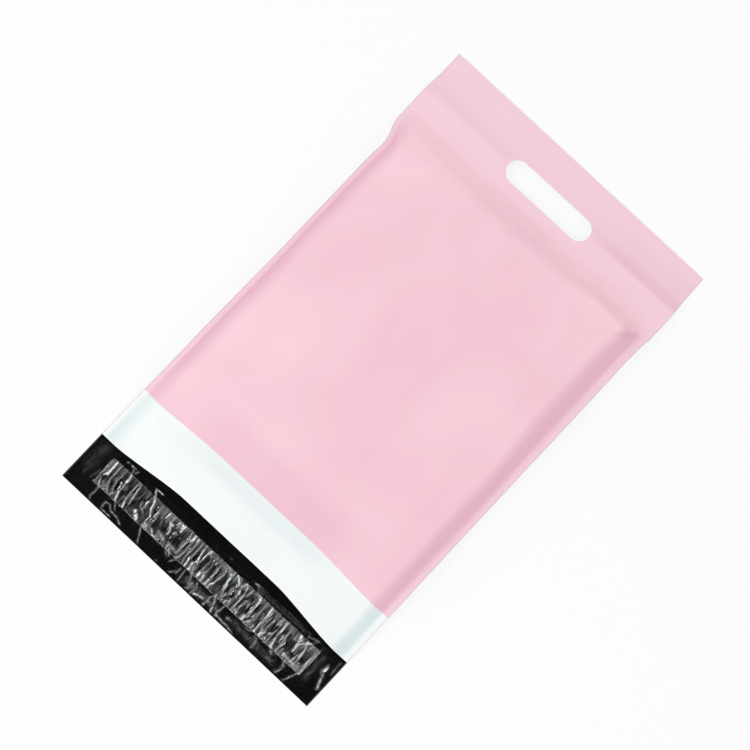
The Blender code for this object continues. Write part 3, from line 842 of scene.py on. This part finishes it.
# Loose folds in the liner's bare tail, in its ends and along the mouth, laid out as the clinging ones are,
# their white partly a painted highlight
LOOSE_FOLDS = (
    (0.45, 0.9, (-104, 423.5), (-101, 429), (-100.4, 434), (-100.8, 439), (-97, 442.5)),
    (0.25, 1.2, (-108.8, 420), (-110.5, 428)),
    (0.22, 1.0, (-115, 423), (-117.5, 428.5)),
    (0.45, 1.0, (-97.3, 400.4), (-95.5, 400)),
    (0.6, 1.2, (-92.5, 400.5), (-89.5, 400)),
    (0.4, 0.9, (-90.5, 401), (-89, 405)),
    (0.45, 1.0, (-84.5, 398), (-87.5, 403)),
    (0.42, 0.8, (-84.5, 428), (-82, 431), (-79.5, 434)),
    (0.45, 0.8, (-89.5, 434), (-85.5, 433.2), (-81.5, 436.5), (-75, 436.7), (-69.5, 439.2)),
    (0.45, 0.9, (-89, 434), (-88.6, 438.5)),
    (0.55, 1.0, (-89, 440.8), (-85, 440.2), (-79.5, 440.2)),
    (1.0, 1.5, (-68, 423.5), (-65.5, 425.5), (-63.5, 427.6)),
    (0.8, 0.9, (-69, 397.5), (-66.5, 402), (-62, 409)),
    (0.85, 1.1, (-67, 400), (-61.5, 400)),
    (0.45, 0.9, (-56.5, 424), (-56.6, 429.5), (-54, 434), (-50, 441)),
    (0.5, 0.8, (-34, 423), (-31, 429), (-28.5, 432)),
    (0.5, 0.9, (-30, 426.5), (-26.5, 431)),
    (0.42, 1.0, (-21, 429.8), (-23, 433.5)),
    (0.35, 1.0, (-31, 440), (-29.5, 442)),
    (0.45, 1.1, (-12.8, 432), (-14, 436.5)),
    (0.35, 0.9, (-14, 435), (-18, 439.5)),
    (0.4, 1.0, (-10, 429.8), (-9.3, 435), (-9, 441)),
    (0.5, 0.9, (-4.5, 428), (-2.5, 433), (0, 437), (-1.5, 441.5)),
    (0.5, 1.4, (0.5, 434), (3, 435.5), (1, 439)),
    (0.5, 0.9, (3, 431), (5.5, 434), (4.5, 441)),
    (0.75, 1.2, (6.5, 438.5), (9.5, 437.5), (13.5, 436.5)),
    (0.55, 1.0, (17.5, 440), (18, 432), (20.3, 428.5)),
    (0.6, 1.2, (20.3, 428.5), (22.5, 432.5), (26, 441.5)),
    (0.5, 1.0, (30.5, 430), (29.5, 436), (29, 441.5)),
    (0.5, 1.2, (30, 439), (42, 439.5), (48, 441)),
    (0.38, 1.8, (37.5, 434.5), (40.5, 434.8)),
    (0.4, 0.8, (52, 430.5), (56, 430.8), (59, 428)),
    (0.4, 1.8, (64, 431), (66.5, 435), (66, 438)),
    (0.42, 1.6, (77.5, 429.5), (80.5, 431.5)),
    (0.4, 1.7, (91.5, 429), (93.5, 433), (92.5, 437), (91, 441)),
    (0.5, 0.9, (105, 428.5), (102, 435.5), (99.5, 442)),
    (0.4, 0.7, (35.5, 401), (41, 400.3), (50, 399.6), (66, 399.4), (88, 399.4)),
    (0.5, 1.1, (36.5, 401.3), (39.5, 400.6)),
    (0.38, 1.0, (39, 401.5), (44.5, 406.5)),
    (0.28, 0.8, (91.5, 398), (92.5, 404)),
    (0.42, 0.8, (93.5, 403), (101, 400)),
    (0.4, 0.8, (101, 400), (98, 405)),
    (0.22, 0.8, (106.3, 399), (106.5, 405)),
    (0.3, 0.9, (9.3, 400), (10.7, 400.6)),
    (0.8, 1.3, (118.3, 410), (118.4, 414)),
    (0.45, 0.7, (118.3, 408), (116.2, 415.6), (118.8, 418)),
    (0.55, 1.4, (119.5, 416.5), (121, 421), (123.5, 427.5)),
    (0.25, 1.1, (123.6, 401), (123.6, 412)),
    # The last five are wide soft patches of painted sheen rather than folds
    (0.14, 7.0, (-117, 405), (-118, 421)),
    (0.18, 3.5, (111, 407), (111, 427)),
    (0.2, 4.0, (45, 434), (85, 436)),
    (0.27, 4.0, (-4, 435), (28, 436)),
    (0.18, 2.0, (40, 403), (88, 402)),
)

loose_folds = in_metres(LOOSE_FOLDS)


def liner_form(x, v):
    """Height of the liner over its lowest film, and how white it is. Clear film whitens where it creases;
    the white is partly a painted highlight.
    """
    over_glue = on_glue(x, v)
    stuck, _ = folds_at(clinging_folds, x, v)
    thin = ease((speckle(x, v, 0.0011, 0.007, 79.0) - 0.1) / 0.35)
    stuck = max(stuck, thin * (STREAK_WHITE_AND_HIGHLIGHT + STREAK_WHITE_AND_HIGHLIGHT_RIGHT * ease((x + 0.02) / 0.06)))
    loose, _ = folds_at(loose_folds, x, v)
    ripple_at = x / along_list(RIPPLE_WIDTH, x) + 0.4 * speckle(x, v, 0.02, 0.01, 31.0)
    ripple = RIPPLE_HEIGHT * (0.5 - 0.5 * math.cos(2 * math.pi * ripple_at))
    slack = SLACK * (1 + rumple(x, v, 0.02, 0.01, 47.0))
    creased = stuck * over_glue + loose * (1 - over_glue * ease((0.3 - loose) / 0.1))
    height = (OVER_GLUE + ripple) * over_glue + FOLD_HEIGHT * min(creased, 1.0) + slack
    return height, min(creased, 1.0) ** 2 * FOLD_WHITE_AND_HIGHLIGHT


liner_white_and_highlight = []


def liner_place(x, y):
    """A point on the liner's top. Its edge by the mouth runs unevenly. Keeps how white the point is, partly
    a painted highlight.
    """
    ragged = LINER_RAGGED * (0.6 + 0.4 * rumple(x, 0.0, 0.03, 1.0, 53.0)) * ease((y - glue_high.y) / 0.003)
    height, white_and_highlight = liner_form(x, SHEET_LENGTH / 2 - y - ragged)
    liner_white_and_highlight.append(white_and_highlight)
    return Vector((x, y + ragged, liner_low.z + LINER_FILM + height))


liner_columns = spaced((liner_low.x, liner_high.x, LINER_STEP))
liner_rows = spaced((liner_low.y, glue_low.y - GLUE_EDGE_STEP, LINER_STEP),
                    (glue_low.y - GLUE_EDGE_STEP, glue_low.y + GLUE_EDGE_STEP, GLUE_EDGE_STEP),
                    (glue_low.y + GLUE_EDGE_STEP, glue_high.y - GLUE_EDGE_STEP, LINER_ROW),
                    (glue_high.y - GLUE_EDGE_STEP, glue_high.y + GLUE_EDGE_STEP, GLUE_EDGE_STEP),
                    (glue_high.y + GLUE_EDGE_STEP, liner_high.y, LINER_STEP))
liner = grid_sheet("clear_liner", liner_columns, liner_rows, liner_place)
add_mark(liner, "milky", liner_white_and_highlight)
add_thickness(liner, "liner_thickness", LINER_FILM)
apply_and_smooth(liner, 60)

clear = new_material("clear_liner_film", (0.92, 0.95, 0.95), 0.07)
clear_shader = clear.node_tree.nodes["Principled BSDF"]
clear_shader.inputs["IOR"].default_value = 1.6
# Where the liner is white, partly as a painted highlight, it turns from clear to a diffuse white
liner_read = read_mark(clear, "milky")
haze_and_highlight = add_node(clear, "ShaderNodeMapRange", To_Min=1.0, To_Max=0.0)
clear.node_tree.links.new(liner_read.outputs["Fac"], haze_and_highlight.inputs["Value"])
clear.node_tree.links.new(haze_and_highlight.outputs["Result"], clear_shader.inputs["Transmission Weight"])
liner.data.materials.append(clear)
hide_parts("release_liner")
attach(liner, "root")


# The floor. A plain white sweep under the bag, which is not part of it. It glows where it is seen, in a
# mirror or through film too, so that it comes out white, and gives no more light for that.
bpy.ops.object.select_all(action="DESELECT")
bpy.ops.mesh.primitive_plane_add(size=8.0, location=(0.0, 0.0, -0.0003))
floor = bpy.context.object
floor.name = "floor"
FLOOR_GLOW = 0.78
paper = new_material("floor_paper", (0.93, 0.93, 0.93), 0.9)
paper_links = paper.node_tree.links
paper_shader = paper.node_tree.nodes["Principled BSDF"]
paper_out = paper.node_tree.nodes["Material Output"]
glow = add_node(paper, "ShaderNodeEmission", Color=(1.0, 1.0, 1.0, 1.0), Strength=1.0)
ray = paper.node_tree.nodes.new("ShaderNodeLightPath")
seen = ray.outputs["Is Camera Ray"]
for kind in ("Is Glossy Ray", "Is Transmission Ray"):
    either = paper.node_tree.nodes.new("ShaderNodeMath")
    either.operation = "MAXIMUM"
    paper_links.new(seen, either.inputs[0])
    paper_links.new(ray.outputs[kind], either.inputs[1])
    seen = either.outputs["Value"]
amount = paper.node_tree.nodes.new("ShaderNodeMath")
amount.operation = "MULTIPLY"
amount.inputs[1].default_value = FLOOR_GLOW
mix = paper.node_tree.nodes.new("ShaderNodeMixShader")
paper_links.new(seen, amount.inputs[0])
paper_links.new(amount.outputs["Value"], mix.inputs["Fac"])
paper_links.new(paper_shader.outputs["BSDF"], mix.inputs[1])
paper_links.new(glow.outputs["Emission"], mix.inputs[2])
paper_links.new(mix.outputs["Shader"], paper_out.inputs["Surface"])
floor.data.materials.append(paper)


# The light. A wide lamp overhead gives the plain level, and soft boxes round the bag put the bright
# lines on the liner. The overhead lamp stays out of reflections, as it does behind a diffuser.
def soft_box(name, place, size, level, mirrored=True):
    """A rectangular lamp that faces the bag; level is what it gives a white card on the table."""
    data = bpy.data.lights.new(name, "AREA")
    data.shape = "RECTANGLE"
    data.size, data.size_y = size
    lamp = bpy.data.objects.new(name, data)
    bpy.context.scene.collection.objects.link(lamp)
    lamp.location = place
    away = Vector(place)
    lamp.rotation_mode = "QUATERNION"
    lamp.rotation_quaternion = away.to_track_quat("Z", "Y")
    rise = away.z / away.length
    data.energy = level * math.pi * math.pi * away.length_squared / rise
    lamp.visible_glossy = mirrored
    lamp.visible_transmission = mirrored
    return lamp


soft_box("overhead", (-0.18, 0.1, 2.0), (1.2, 1.2), 0.315, mirrored=False)
soft_box("left_box", (-0.66, -0.34, 0.74), (0.4, 0.1), 0.10)
soft_box("right_box", (0.66, -0.3, 0.7), (0.4, 0.1), 0.07)
soft_box("flap_box", (-0.05, -0.95, 0.7), (0.4, 0.1), 0.03)
soft_box("handle_box", (0.0, 0.7, 0.8), (0.4, 0.1), 0.04)

# The surroundings are white, and nearly dark straight above
world = bpy.data.worlds.new("studio")
world.use_nodes = True
bpy.context.scene.world = world
sky = world.node_tree.nodes["Background"]
sky.inputs["Color"].default_value = (1.0, 1.0, 1.0, 1.0)
direction = world.node_tree.nodes.new("ShaderNodeTexCoord")
parts = world.node_tree.nodes.new("ShaderNodeSeparateXYZ")
fall = add_node(world, "ShaderNodeMapRange", From_Min=0.5, From_Max=0.85, To_Min=1.0, To_Max=0.03)
world.node_tree.links.new(direction.outputs["Generated"], parts.inputs["Vector"])
world.node_tree.links.new(parts.outputs["Z"], fall.inputs["Value"])
world.node_tree.links.new(fall.outputs["Result"], sky.inputs["Strength"])


# The camera, at the photograph's angle: almost straight above, with the handle up to the right.
CAMERA_PLACE = Vector((0.0239, -0.0450, 1.1067))
LOOK = Vector((-0.0269, 0.0371, -0.9989))
UP = Vector((-0.6823, 0.7296, 0.0455))
view_data = bpy.data.cameras.new("photo_view")
view_data.lens = 70.0
view_data.sensor_width = 36.0
camera = bpy.data.objects.new("photo_view", view_data)
bpy.context.scene.collection.objects.link(camera)
right = LOOK.cross(UP).normalized()
true_up = right.cross(LOOK).normalized()
turn = Matrix((right, true_up, -LOOK.normalized())).transposed()
camera.matrix_world = Matrix.Translation(CAMERA_PLACE) @ turn.to_4x4()
bpy.context.scene.camera = camera
bpy.context.scene.view_settings.view_transform = "Standard"
